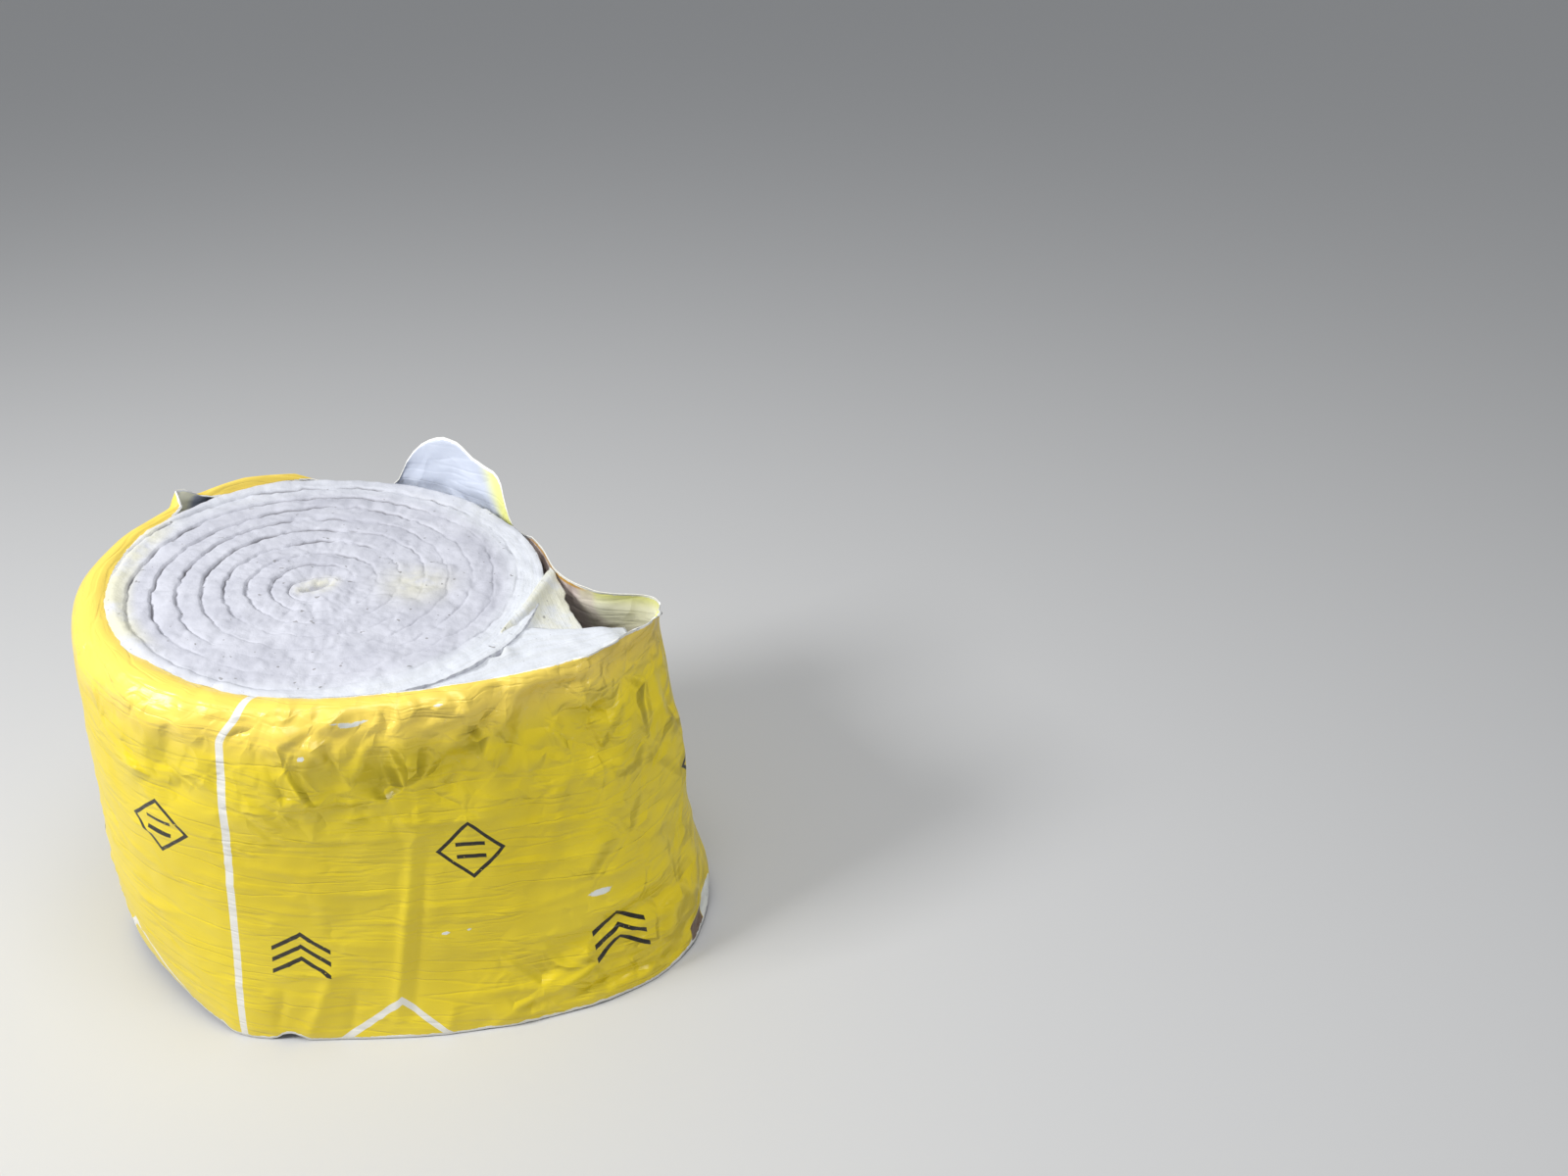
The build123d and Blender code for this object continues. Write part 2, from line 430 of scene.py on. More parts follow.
TUCK_HEIGHT = 150.0  # the side is drawn in up to here
ragged = unevenness(9, 7)
foot_lift = smooth_through(*zip(*FOOT_LIFT), around)
foot_lift = foot_lift * (1 + 0.3 * unevenness(26, 8)) + (0.4 + 0.1 * foot_lift) * ragged
foot_lift = foot_lift + 0.8 * np.interp(around, *zip(*SHREDS)) * unevenness(4.2, 9)
foot_lift = np.maximum(foot_lift, 0.3)


def tucked(angle, up):
    """How far the roll's side is drawn in near the floor."""
    angle = angle % 360
    angle = angle + 360 * (angle < FOOT_TUCK[0][0])
    return np.interp(angle, *zip(*FOOT_TUCK)) * np.clip(1 - up / TUCK_HEIGHT, 0, 1) ** 2


# Film: the sheet before its relief, as rows of points from the foot up

FLAP_LEAN, FLAP_HEIGHT = 18, 50
foot_points = smooth_through(stations, foot_line, along)
rise = smooth_through(stations, shoulder_line, along) - foot_points
floor_at = floor_height(foot_points) / (1 - floor_height(rise) / SHOULDER)
foot_at = floor_at + foot_lift
wall_share = np.linspace(0, 1, WALL_ROWS + 1)[:, None]
wall_heights = foot_at + (ROLL_HEIGHT + WALL_TOP - foot_at) * wall_share
heights = np.concatenate((wall_heights, ROLL_HEIGHT + rounded_levels))
level = heights - ROLL_HEIGHT
above_foot = heights - foot_at
turned_in = np.concatenate((wall_heights * 0, rounded_shares[:, None] + 0 * rounded_levels))
on_flap = around < FLAP_END

across = foot_points + rise * (np.minimum(heights, SHOULDER + 8) / SHOULDER)[..., None]
across = across + smooth_through(stations, turn_in_line, along) * (turned_in * kept_turn)[..., None]
moved_out = FLAP_LEAN * (np.clip(level, 0, None) / FLAP_HEIGHT) ** 1.3 * on_flap
moved_out = moved_out - tucked(around, heights - floor_at)
across = across + moved_out[..., None] * across / np.linalg.norm(across, axis=-1, keepdims=True)
round_axis = around + apart(angle_of(across), around)  # each point's own angle, counted as the line's is

sheet = in_room(across, heights)
on_sheet = np.stack((along + 0 * heights, heights, 0 * heights), axis=-1)


# Film: creases, wrinkles and crumple

# Each row: a path of (angle, height), its width, its depth, and how much wider its upper side is
CREASES = [
    # Dents and crumples under the shoulder
    (((247, 410), (253, 416)), 9, -2.0), (((253, 415), (251, 377)), 12, -2.2),
    (((267, 416), (264.5, 388)), 8, 2.2), (((265, 416), (275, 393)), 8, -2.4),
    (((275.5, 413), (281.5, 393)), 8, 2.4), (((281.5, 393), (285, 408)), 6, -2.0),
    (((286, 414), (289, 384)), 8, -2.6), (((285, 407), (295.5, 405)), 5, 2.2),
    (((297, 413), (301, 406), (297, 383)), 7, -2.6), (((303.5, 405), (310, 410)), 5, 2.0),
    (((305, 391), (319.5, 408)), 7, 2.6), (((320.6, 399), (310.3, 329)), 13, -5.0, 1.6),
    (((325, 402), (320, 372)), 7, 3.0), (((325.6, 366), (329.5, 408)), 6, -3.0),
    (((331, 404), (340, 396)), 6, -2.6), (((332.4, 372), (343, 380), (354.6, 380)), 7, 3.2),
    (((330, 369), (333, 336)), 7, 3.0), (((339, 368), (344, 342)), 7, -3.2),
    (((345, 394), (352, 398)), 6, -3.0), (((349, 369), (353, 388)), 6, 3.0),
    (((289, 360), (293.3, 307)), 9, -2.0), (((288.8, 388), (292, 312)), 7, 1.8),
    (((324.7, 344), (325.2, 312)), 6, 2.2), (((326, 380), (322, 340)), 8, -3.0),
    (((354.2, 374), (356, 275)), 9, -3.2), (((356, 275), (355.6, 221)), 8, 2.6),
    (((258, 400), (262, 380)), 9, -1.8), (((240, 405), (232, 372)), 14, -2.0),
    (((218, 404), (212, 366)), 14, -1.8), (((272, 372), (283, 360)), 8, -1.6),
    (((312, 372), (318, 352)), 7, 2.6), (((336, 352), (347, 338)), 8, 2.4),
    # The long upright crease and the slack below the shoulder
    (((302, 272), (298, 175), (293.2, 42)), 4.5, 2.4, 2.4), (((305, 270), (301, 175), (297, 50)), 5, -1.9),
    (((282, 118), (278, 60), (274.5, 14)), 6, 2.4, 2.0), (((271, 84), (268.5, 22)), 8, -2.2),
    (((286.5, 84), (283.5, 20)), 7, -1.8), (((305, 66), (302, 12)), 6, 1.8),
    # Pulled tight, side to side
    (((265, 284), (285, 281), (304, 277)), 3, 1.0), (((251, 280), (265, 271)), 3, 1.0),
    (((262, 195), (276, 192), (290, 187)), 3, 0.9), (((276, 279), (303, 273)), 2.6, -0.9),
    (((265, 246), (287, 240)), 3, 0.9), (((305, 293), (317, 283)), 3, 1.2),
    (((320, 270), (334, 256)), 4, 1.6), (((299, 195), (311, 191)), 3, 0.9),
    (((234, 325), (254, 347)), 5, 1.0), (((221, 238), (230, 212)), 6, -1.2),
    (((231, 143), (250, 162)), 4, 1.0), (((316, 232), (333, 214)), 4, 1.3),
    (((322, 205), (340, 180)), 5, 1.6), (((341, 236), (352, 216)), 5, -1.6),
    # The fan of folds that runs up from the foot to the corner
    (((313, 52), (331, 95), (348, 92)), 8, 4.0, 2.0), (((317.7, 50), (331, 66), (344, 64)), 6, -3.6, 1.5),
    (((321.4, 84), (333, 117), (351, 108)), 8, 3.6, 2.0),
    (((325.6, 122), (337, 138), (351, 130)), 9, -3.2, 1.4),
    (((313, 40), (326, 62)), 7, 3.2), (((326, 30), (338, 44), (350, 40)), 8, 3.4, 1.5),
    (((330, 150), (346, 158)), 8, 2.4), (((333, 12), (345, 26)), 7, -2.4),
]


def crease(path, width, depth, gentle=1.0):
    """A fold along a path of (angle, height). A negative depth is a furrow. gentle widens its upper side."""
    total = 0
    spots = [np.array((along_at(angle + 360 * (angle <= SECOND_ROUND)), up)) for angle, up in path]
    for number, (first, last) in enumerate(zip(spots, spots[1:])):
        run = last - first
        length = np.linalg.norm(run)
        share = ((on_sheet[..., :2] - first) @ run) / length**2
        beyond = np.maximum(np.maximum(-share, share - 1), 0) * length
        side = ((on_sheet[..., 1] - first[1]) * run[0] - (on_sheet[..., 0] - first[0]) * run[1]) / length
        off = np.hypot(side, beyond) / np.where(side > 0, width * gentle, width)
        passed = (number + np.clip(share, 0, 1)) / (len(spots) - 1)
        fade = np.sin(np.pi * (0.12 + 0.76 * passed))
        bend = depth * np.exp(-(np.sqrt(off**2 + 0.09) - 0.3) * 1.5) * fade
        total = np.where(np.abs(bend) > np.abs(total), bend, total)
    return total


def swells():
    """Soft unevenness, more of it where the film hangs loose, away from the roll."""
    slack = band(around, 262, 300, 380, 452)
    tight = 1.7 * lumps(on_sheet, 95, 11) + 0.5 * lumps(on_sheet * (1, 1.6, 1), 40, 12)
    return tight + slack * (2.2 * lumps(on_sheet, 70, 13) + 0.7 * lumps(on_sheet, 26, 14))


def wrinkles():
    """Side to side wrinkles: thin ones where the film is stretched, and broader ones at the back."""
    dice = np.random.default_rng(5)

    def wrinkle(angle, height, reach, slant, width, depth):
        return crease(((angle - reach, height - slant), (angle + reach, height + slant)), width, depth)

    total = 0
    for _ in range(90):
        angle, height = dice.uniform(180, 345), dice.uniform(30, 350)
        reach, slant = dice.uniform(3, 11), dice.uniform(-7, 4)
        depth = dice.uniform(0.5, 1.3)
        total = total + wrinkle(angle, height, reach, slant, dice.uniform(1.8, 3.4), depth)
    for number in range(46):
        angle = dice.uniform(96, 190) if number % 2 else dice.uniform(362, 392)
        height = dice.uniform(40, 360)
        reach, slant = dice.uniform(3, 9), dice.uniform(-20, 20)
        total = total + wrinkle(angle, height, reach, slant, dice.uniform(5, 9), dice.uniform(-1.6, 1.6))
    return total


# Crumpled film is flat facets with sharp edges, most of all under the shoulder and in the loose corner
corner_side = band(around, 318, 342, 365, 452)
low_fan = band(around, 305, 325, 358, 372) * step(150, 90, heights)
under_shoulder = band(level, -165, -60, -8, 6) * step(400, 392, around)
under_shoulder = under_shoulder * (0.35 + 0.65 * step(255, 285, around))
rough = np.clip(under_shoulder + 0.45 * corner_side + 0.5 * low_fan + 0.12, 0, 1.2)
rough = rough * (1 - 0.5 * band(around, 120, 150, 225, 250))
rough = rough * (1 - 0.8 * step(356, 362, around) * step(-170, -110, level))


def crumple():
    """The facets of the whole sheet, and the smaller ones of the flap."""
    strays = np.stack((lumps(on_sheet, 55, 23), lumps(on_sheet, 55, 24), 0 * heights), axis=-1)
    x, y, _ = np.moveaxis(on_sheet + 10 * strays, -1, 0)
    whole = 7.0 * facets(x, y, 52, 25) + 4.6 * facets(y, x, 31, 26)
    flap = 4.0 * facets(x, y, 27, 28) + 1.2 * facets(y, x, 13, 29)
    return rough * whole + on_flap * step(-10, 15, level) * flap


MOST_OUT, MOST_IN = 11.0, 6.0
folds = sum(crease(*row) for row in CREASES)
relief = (swells() + folds + wrinkles()) * 1.5 + crumple()
# It lies flatter at its foot, at its turned in edge and where it lies under the free end
calm = (0.2 + 0.8 * step(0, 16, above_foot)) * (1 - 0.6 * step(0.4, 1.0, turned_in))
calm = calm * (1 - 0.7 * step(357, 364, around) * step(-170, -110, level))
limit = np.where(relief > 0, MOST_OUT, MOST_IN)
relief = limit * np.tanh(relief * calm / limit)
relief = relief + (0.8 + 1.2 * under_shoulder) * (1 - step(0.5, 1.0, turned_in))
sheet = sheet + normals_of(sheet) * relief[..., None] / 1000
sheet[..., 2] = np.maximum(sheet[..., 2], 0.0012)


# Film: what its finish needs to know of each point

# The print was put on slightly askew, and slips sideways over the shoulder
SKEW = math.tan(math.radians(2.4))
JOIN_LINE_AT, JOIN_LINE_TOP = 263.4, 382
PRINT_LEVEL_AT = 261  # the print's heights count from the foot here
PRINT_SLIP = 11
climb = np.concatenate((wall_heights[:1], np.linalg.norm(np.diff(sheet, axis=0), axis=-1) * 1000))
climbed = np.cumsum(climb, axis=0)
print_along = along - SKEW * heights - PRINT_SLIP * step(386, 418, heights)
print_along = print_along - (along_at(JOIN_LINE_AT) - SKEW * JOIN_LINE_TOP)
print_up = climbed + SKEW * (along - along_at(PRINT_LEVEL_AT))

# Where the print is scuffed off: angle, height, how far its ends curl up, and its reach both ways
SCUFFS = [(290.5, 407, 0.15, 4.6, 2.4), (309, 411, 0, 1.6, 1.6), (332.3, 172, 0.1, 2.4, 4.2),
          (306.0, 160, 0, 1.0, 2.0), (310.4, 161, 0, 0.7, 1.6), (277, 380, 0, 1.0, 1.2),
          (280.3, 381, 0, 0.9, 1.2)]


def scuffs():
    total = 0
    for angle, height, bent, reach, tall in SCUFFS:
        off = round_axis - angle
        total = total + np.exp(-(off / reach) ** 2 - ((heights - height - bent * off**2) / tall) ** 2)
    return total


def film_marks():
    """What varies over the film, each by the name that its finish reads."""
    from_foot, from_lip = climbed - climb[:1], climbed[-1:] - climbed
    by_lip = step(20, 0, levels[3] - level)
    flap_side = step(56.5, 50, around - 7 * np.clip(level / 34, -0.8, 1)) * on_flap
    corner_inside = step(363.2, 364.0, round_axis) * step(402, 396, around) * step(-220, -120, level)
    torn_off = band(round_axis, 344.5, 346, 349.5, 351) * step(26, 20, above_foot)
    pale_shred = band(round_axis, 350, 351, 354.5, 356) * step(30, 24, above_foot)
    return dict(
        printed=np.stack((print_along, print_up), axis=-1) / 1000,
        cut=np.minimum(from_lip, 0.9 * from_foot + 0.2 - 1.2 * ragged),
        worn=np.clip(step(0.8, 3.0, np.abs(folds)) * (0.25 + under_shoulder)
                     + 0.35 * corner_side * step(-160, -60, level), 0, 1),
        # Painted light: yellow-green below the lip in the corner and on the flap's side, where light shines
        # through the yellow film
        tint=np.maximum(by_lip * band(around, 340, 356, 388, 398), flap_side),
        # Painted shade, with some dirt: grey-brown on the inside of the back film in the corner
        stain=corner_inside * (0.62 + 0.38 * step(365.2, 366.2, round_axis)),
        # Painted light: the shoulder is paler where light falls on the top, with a more orange tint of the
        # film there
        glow=step(-60, -5, level),
        rough=np.clip(rough, 0, 1),
        rolled_lip=step(7.5, 5.5, from_lip) * step(364.5, 366, round_axis) * step(398, 392, around),
        scuffed=scuffs() + 1.4 * pale_shred,
        # Painted light: the inside in the corner and at the spike is cream where light shines through the
        # film
        creamy=band(around, 320, 345, 400, 420) + step(5, 3, np.abs(around - SPIKE_AT)) + 0 * heights,
        torn=torn_off * step(-1, 3, above_foot + 3 * ragged),
    )


FILM_THICKNESS = 0.0009
film = laid_grid("film_wrap_printed", sheet, **film_marks())
bpy.ops.object.shade_smooth()


# Film: its finish

PRINT_REPEAT = 0.3  # the motifs come again after this much of the film's length, in metres


def printed_on(finish, where, base):
    """The print: a join line and a zigzag in white, and in black a lozenge with bars, and chevrons."""
    print_x, print_y = finish.parts(where)
    zigzag_x, zigzag_y = print_x.from_nearest(PRINT_REPEAT, PRINT_REPEAT / 2), print_y - 0.082
    zigzag = (zigzag_y + abs(zigzag_x) * 1.15).line(0.0055) * zigzag_x.line(0.068)
    join_line = print_x.line(0.0038, 0.0002)
    base = finish.mix(join_line.math("MAXIMUM", zigzag), base, colour(240, 238, 230))

    motif_x = print_x.from_nearest(PRINT_REPEAT)
    lozenge_x, lozenge_y = motif_x + 0.072, print_y - 0.268
    black = (abs(lozenge_x) + abs(lozenge_y) - 0.031).line(0.0026)
    bars = (abs(lozenge_y) - 0.007).line(0.0022) * lozenge_x.line(0.014)
    black = black.math("MAXIMUM", bars)
    chevron_x, chevron_y = motif_x - 0.062, print_y - 0.150
    for lift in (-0.016, 0.0, 0.016):
        stroke = (chevron_y - lift + abs(chevron_x) * 0.8).line(0.003) * chevron_x.line(0.027)
        black = black.math("MAXIMUM", stroke)
    thin_ink = finish.noise(where, 260.0, 2.0).rising(0.22, 0.34)
    return finish.mix(black * thin_ink, base, colour(36, 33, 24))


def worn_off(finish, where, base):
    """The print is scratched along the folds, scuffed off in places, and torn low on the corner."""
    scratchy = finish.noise(where, 160.0, 5.0, 0.75)
    scratched = scratchy.rising(0.6, 0.7) * finish.mark("worn") * 0.5
    scuffed = (finish.mark("scuffed") * (0.4 + scratchy)).rising(0.4, 0.5)
    torn = (finish.mark("torn") * (0.5 + scratchy)).rising(0.35, 0.6)
    base = finish.mix(scratched, base, colour(246, 242, 205))
    base = finish.mix(scuffed, base, colour(232, 234, 226))
    return finish.mix(torn, base, colour(112, 84, 58))


def film_surface(finish, where, base, glossiest, duller, pulled, pulled_finer):
    """What both sides of the film share: the cut edge, pulled lines, flat facets and grain."""
    fine = finish.noise(where, 55.0, 4.0, 0.6, stretch=(0.35, 1.0, 1.0))
    grain = finish.noise(where, 420.0, 2.0, 0.5, stretch=(0.5, 1.0, 1.0))
    cut_edge = 1 - (finish.mark("cut") + 3.0 * grain).rising(4.2, 4.8)
    base = finish.mix(cut_edge, base, colour(246, 246, 242))
    lines = finish.noise(where, 38.0, 2.0, 0.5, stretch=(0.13, 1.0, 1.0))
    finer_lines = finish.noise(where, 85.0, 2.0, 0.5, stretch=(0.1, 1.0, 1.0))
    in_places = finish.noise(where, 9.0, 1.0).rising(0.4, 0.6)
    askew = finish.node("TexNoise", None, {"Vector": where, "Scale": 14.0, "Detail": 2.0}, output=1)
    bent = finish.vector("ADD", where, finish.vector("MULTIPLY", askew, (0.03, 0.03, 0.0)))
    crumpled = finish.flat_facets(bent, 20.0, 0.52) + finish.flat_facets(bent, 44.0, 0.22)
    normal = finish.bump(abs(lines - 0.5).rising(0.0, 0.04), pulled, 0.0012)
    normal = finish.bump(abs(finer_lines - 0.5).rising(0.0, 0.05) * in_places, pulled_finer, 0.0008, normal)
    normal = finish.bump(crumpled * finish.mark("rough"), 0.9, 1.0, normal)
    normal = finish.bump(fine, 0.3, 0.0012, normal)
    normal = finish.bump(grain, 0.12, 0.0003, normal)
    return finish.surface(Base_Color=base, Roughness=glossiest + duller * fine, Normal=normal)


def film_outside():
    finish = Finish("film_yellow_outside")
    where = finish.node("UVMap", {"uv_map": "printed"})
    cloudy = finish.noise(finish.place(), 7.0, 3.0)
    base = finish.mix(cloudy.rising(0.35, 0.7), colour(240, 215, 40), colour(232, 206, 28))
    # Painted light on the shoulder: paler where light falls on the top, and tinted more orange
    base = finish.mix(finish.mark("glow") * 0.85, base, colour(254, 222, 104))
    base = worn_off(finish, where, printed_on(finish, where, base))
    return film_surface(finish, where, base, 0.27, 0.16, pulled=0.38, pulled_finer=0.28)


def film_inside():
    finish = Finish("film_white_inside")
    where = finish.node("UVMap", {"uv_map": "printed"})
    place = finish.place()
    cloudy = finish.noise(place, 7.0, 3.0)
    folded = finish.noise(place, 60.0, 2.0, 0.5, stretch=(1.0, 1.0, 0.12))
    # Grey-brown for the inside of the back film: painted shade, with some dirt
    brown = finish.mix(folded.rising(0.42, 0.58), colour(228, 212, 205), colour(198, 180, 172))
    base = finish.mix(cloudy.rising(0.3, 0.75), colour(198, 205, 220), colour(188, 195, 212))
    # Painted light shining through the film: cream on the inside in the corner and at the spike
    base = finish.mix(finish.mark("creamy"), base, colour(255, 253, 224))
    # Painted light shining through the yellow film, below the lip and on the flap's side
    base = finish.mix(finish.mark("tint") * 0.85, base, colour(240, 240, 130))
    # The grey-brown inside of the back film is painted shade, with some dirt
    base = finish.mix(finish.mark("stain"), base, brown)
    base = finish.mix(finish.mark("rolled_lip"), base, colour(214, 164, 74))
    return film_surface(finish, where, base, 0.42, 0.14, pulled=0.2, pulled_finer=0.2)


def film_cut_edge():
    finish = Finish("film_cut_edge")
    ragged_white = finish.noise(finish.place(), 300.0, 3.0)
    base = finish.mix(ragged_white.rising(0.3, 0.7), colour(244, 243, 236), colour(228, 225, 210))
    return finish.surface(Base_Color=base, Roughness=0.55, Normal=finish.bump(ragged_white, 0.3, 0.0003))


for material in (film_outside(), film_inside(), film_cut_edge()):
    film.data.materials.append(material)
modified(film, "SOLIDIFY", thickness=FILM_THICKNESS, offset=-1, use_even_offset=False, material_offset=1,
         material_offset_rim=2)


# Wool: the wound blanket

TURNS = 10
PER_TURN = 400
TAIL_LEAVES_AT = 300
EYE = np.array((-8.0, -14.0))
EYE_LONG_WAY = pointing(38)
EYE_CROSS_WAY = np.array((-EYE_LONG_WAY[1], EYE_LONG_WAY[0]))
WARM_PATCH = (88, 6)  # the middle of a creamy patch on the sawn top
# Across one turn of the spiral, from its outer gap to its inner one
ACROSS_TURN = np.array((0, 0.035, 0.09, 0.17, 0.27, 0.38, 0.5, 0.62, 0.74, 0.85, 0.935, 1.0))
# Down the side, from the sawn top to the foot
DOWN_SIDE = np.array((0, 0.02, 0.05, 0.2, 0.4, 0.6, 0.8, 0.95, 0.985, 1))[:, None]
# How wide the gaps between the turns stand open, by the angle
GAP_STRENGTH = [(-60, 0.25), (-25, 0.3), (20, 0.3), (60, 0.5), (90, 0.85), (120, 1), (180, 1), (212, 0.9),
                (238, 0.45), (270, 0.22), (300, 0.25)]


def strength_at(angle):
    return np.interp((angle + 60) % 360 - 60, *zip(*GAP_STRENGTH))


def gap_radius(winding):
    """The gap between the turns, by the angle wound inwards from the blanket's outer end."""
    angle = TAIL_LEAVES_AT - winding
    radius = np.maximum(ROLL_RADIUS - 4 * step(60, 0, winding) - TURN * winding / 360, 3.4)
    wide_turn = 13 * bell(apart(angle, 335), 55) * np.exp(-np.maximum(winding / 360 - 0.9, 0) * 0.4)
    radius = radius - wide_turn * step(362, 430, winding)
    spot = np.concatenate((pointing(angle) * radius[..., None], (winding / 360)[..., None] * 40), axis=-1)
    wobble = (1.0 + 1.4 * strength_at(angle)) * lumps(spot, 17, 41)
    wobble = wobble + 2.4 * lumps(spot, 48, 42) + 1.5 * lumps(spot, 7, 43)
    return radius + wobble * step(330, 420, winding) * step(2, 30, radius)


def winding_points(across_turn):
    """Each point of one end: how far it is wound in, its share of its turn, its angle, radius and place,
    and how far it is from a gap."""
    winding = np.linspace(0, TURNS * 360, TURNS * PER_TURN + 1)[None, :] + 0 * across_turn[:, None]
    share = across_turn[:, None] + 0 * winding
    radius = gap_radius(winding) * (1 - share) + gap_radius(winding + 360) * share
    radius = radius - 6 * step(212, 234, radius)  # clear of the film where it dips in
    angle = TAIL_LEAVES_AT - winding
    spot = pointing(angle) * radius[..., None]
    # The middle is pinched to a slot, off the axis
    pinch = np.exp(-radius / 9)
    long_way = spot @ EYE_LONG_WAY * (1 + 3.0 * pinch)
    cross_way = spot @ EYE_CROSS_WAY * (1 - 0.72 * pinch)
    spot = long_way[..., None] * EYE_LONG_WAY + cross_way[..., None] * EYE_CROSS_WAY
    spot = spot + EYE * (np.clip(1 - radius / ROLL_RADIUS, 0, 1) ** 1.2)[..., None]
    near = np.minimum(share, 1 - share) * TURN
    near = np.where((winding < 360) & (share < 0.5), TURN, near)  # the outside has no gap
    return winding, share, angle, radius, spot, near


def wool_foot():
    """The sawn end that it stands on: places across the roll, their heights and their marks."""
    _, _, _, radius, spot, near = winding_points(ACROSS_TURN)
    # gap also paints shade into the gaps between the turns at the foot
    gap = np.exp(-near / 1.5)
    drawn_in = tucked(angle_of(spot), 0) / FILM_RADIUS * (radius / 230) ** 6
    return spot * (1 - drawn_in)[..., None], floor_height(spot) + 3 * gap + 0.6, dict(gap=gap)


def wool_top():
    """The sawn top: places across the roll, their heights and their marks."""
    winding, share, angle, radius, spot, near = winding_points(ACROSS_TURN)
    solid = np.concatenate((spot, 0 * spot[..., :1]), axis=-1)
    gap_winding = np.where(share < 0.5, winding, winding + 360)

    # The gaps are open at the back left and closed up at the front right, and each turn tilts a little
    dark_line = bell(apart(angle, 325), 38) * bell(gap_winding / 360 - 1, 0.3)
    strength = np.clip(strength_at(angle) + 0.75 * dark_line, 0, 1)
    patchy = np.clip(0.62 + 0.9 * lumps(solid, 26, 51) + 0.35 * lumps(solid, 8, 52), 0, 1.15)
    # gap also darkens the wool's colour: painted shade in the gaps between the turns
    gap = strength * patchy * np.exp(-near / 0.9) * step(2, 14, radius)
    tilts = step(0.45, 0.8, strength) * step(10, 60, radius)
    tilts = tilts * step(330, 420, gap_winding) * step(0, 0.7, near)
    level = 2.0 * tilts * (share - 0.5) - 3.4 * gap - 0.8 * strength * np.exp(-near / 4.0)

    # Puffs of wool
    puffs = 2.6 * np.abs(lumps(solid, 24, 54)) + 1.2 * np.abs(lumps(solid, 10, 55)) - 1.1
    level = level + (1.5 - 0.6 * strength) * puffs + 2.0 * lumps(solid, 60, 53) + 0.7 * lumps(solid, 4.5, 57)

    # It swells up inside the film's edge, and is rounded off at the rim, less where the loose end leaves
    lip_radius = 214 + 20 * np.cos(np.radians(angle - 66)) - 5 * np.sin(np.radians(angle))
    level = level + 2.5 * bell(radius - lip_radius + 6, 6) * band(angle % 360, 100, 118, 255, 290)
    loose_end = bell(apart(angle, 318), 34, 4)
    level = level - (16 - 12 * loose_end) * np.clip((radius - 213) / 17, 0, 1) ** 2

    # The eye lies low, with a collar round it
    level = level - 3 * step(40, 0, radius) - 5 * step(7, 3, radius)
    level = level + 3.0 * bell(radius - 13, 6) * (0.6 + 0.6 * lumps(solid, 9, 56))

    warm = bell(radius - 6, 9) + 0.7 * bell(np.linalg.norm(spot - WARM_PATCH, axis=-1), 30)
    # Painted yellow bounce light from the film on the wool near its lip at the left
    warm = warm + 0.9 * band(angle % 360, 150, 170, 215, 240) * step(lip_radius - 30, lip_radius - 8, radius)
    strand = step(170, 200, radius) * (0.35 + 0.65 * np.cos(np.radians(angle + 20)).clip(0, 1))
    streaks = np.stack((np.radians(winding) * 0.15, radius / 1000), axis=-1)
    return spot, ROLL_HEIGHT + level, dict(gap=gap, strand=strand, warm=warm, streaks=streaks)


def outline(end):
    """The outside of one end: once round, and back across the step where the blanket's end leaves."""
    return np.concatenate((end[0, :PER_TURN + 1], end[::-1, 0]))


def wool_side(rim, rim_height, low, low_height):
    """The side between both outlines: slightly uneven, and drawn in near the floor as the film is."""
    spot = rim + (low - rim) * DOWN_SIDE[..., None]
    height = rim_height + (low_height - rim_height) * DOWN_SIDE
    angle = angle_of(spot)
    uneven = 1.5 * lumps(np.concatenate((spot, height[..., None]), axis=-1), 40, 61) - 1.5
    drawn_in = tucked(angle, height - floor_height(spot)) * step(0, 0.5, DOWN_SIDE)
    moved = (uneven * step(0, 0.05, DOWN_SIDE) - drawn_in) * step(1, 0.985, DOWN_SIDE)
    return spot + pointing(angle) * moved[..., None], height


def wound_blanket():
    top_spot, top_height, top_marks = wool_top()
    foot_spot, foot_height, foot_marks = wool_foot()
    side_spot, side_height = wool_side(outline(top_spot), outline(top_height),
                                       outline(foot_spot), outline(foot_height))
    return sewn("wool_blanket_wound", laid_grid("wool_top", in_room(top_spot, top_height), **top_marks),
                laid_grid("wool_foot", in_room(foot_spot, foot_height), **foot_marks),
                laid_grid("wool_side", in_room(side_spot, side_height)))


# Wool: the blanket's loose end, a band inside the film's corner

TAIL_OUTER = [(75, -219), (120, -203), (165, -179), (205, -152), (243, -124), (276, -94), (300, -66),
              (314, -44)]
TAIL_INNER = [(88, -176), (124, -144), (155, -113), (180, -82), (202, -50), (240, -42), (274, -34),
              (303, -20)]
PIT = (178, -98)
DOWN_PAD = np.array((0, 0.02, 0.06, 0.2, 0.45, 0.7, 1))[:, None]


def once_round(grid):
    return np.concatenate((grid[0], grid[1:, -1], grid[-1, -2::-1], grid[-2::-1, 0]))


def wool_pad(name, spots, tops, **marks):
    """A body of wool from a grid of its top side down to the floor."""
    feet = floor_height(spots) + 0.6
    edge_tops, edge_feet = once_round(tops), once_round(feet)
    side_spots = once_round(spots)[None] + 0 * DOWN_PAD[..., None]
    side_heights = edge_tops + (edge_feet - edge_tops) * DOWN_PAD
    out = side_spots - spots.mean(axis=(0, 1))
    out = out / np.linalg.norm(out, axis=-1, keepdims=True)
    swell = 1.6 * lumps(np.concatenate((side_spots, side_heights[..., None]), axis=-1), 22, 71) + 1.2
    side_spots = side_spots + out * (swell * band(DOWN_PAD, 0, 0.06, 0.9, 1))[..., None]
    return sewn(name, laid_grid("pad_top", in_room(spots, tops), **marks),
                laid_grid("pad_foot", in_room(spots, feet)),
                laid_grid("pad_side", in_room(side_spots, side_heights)))


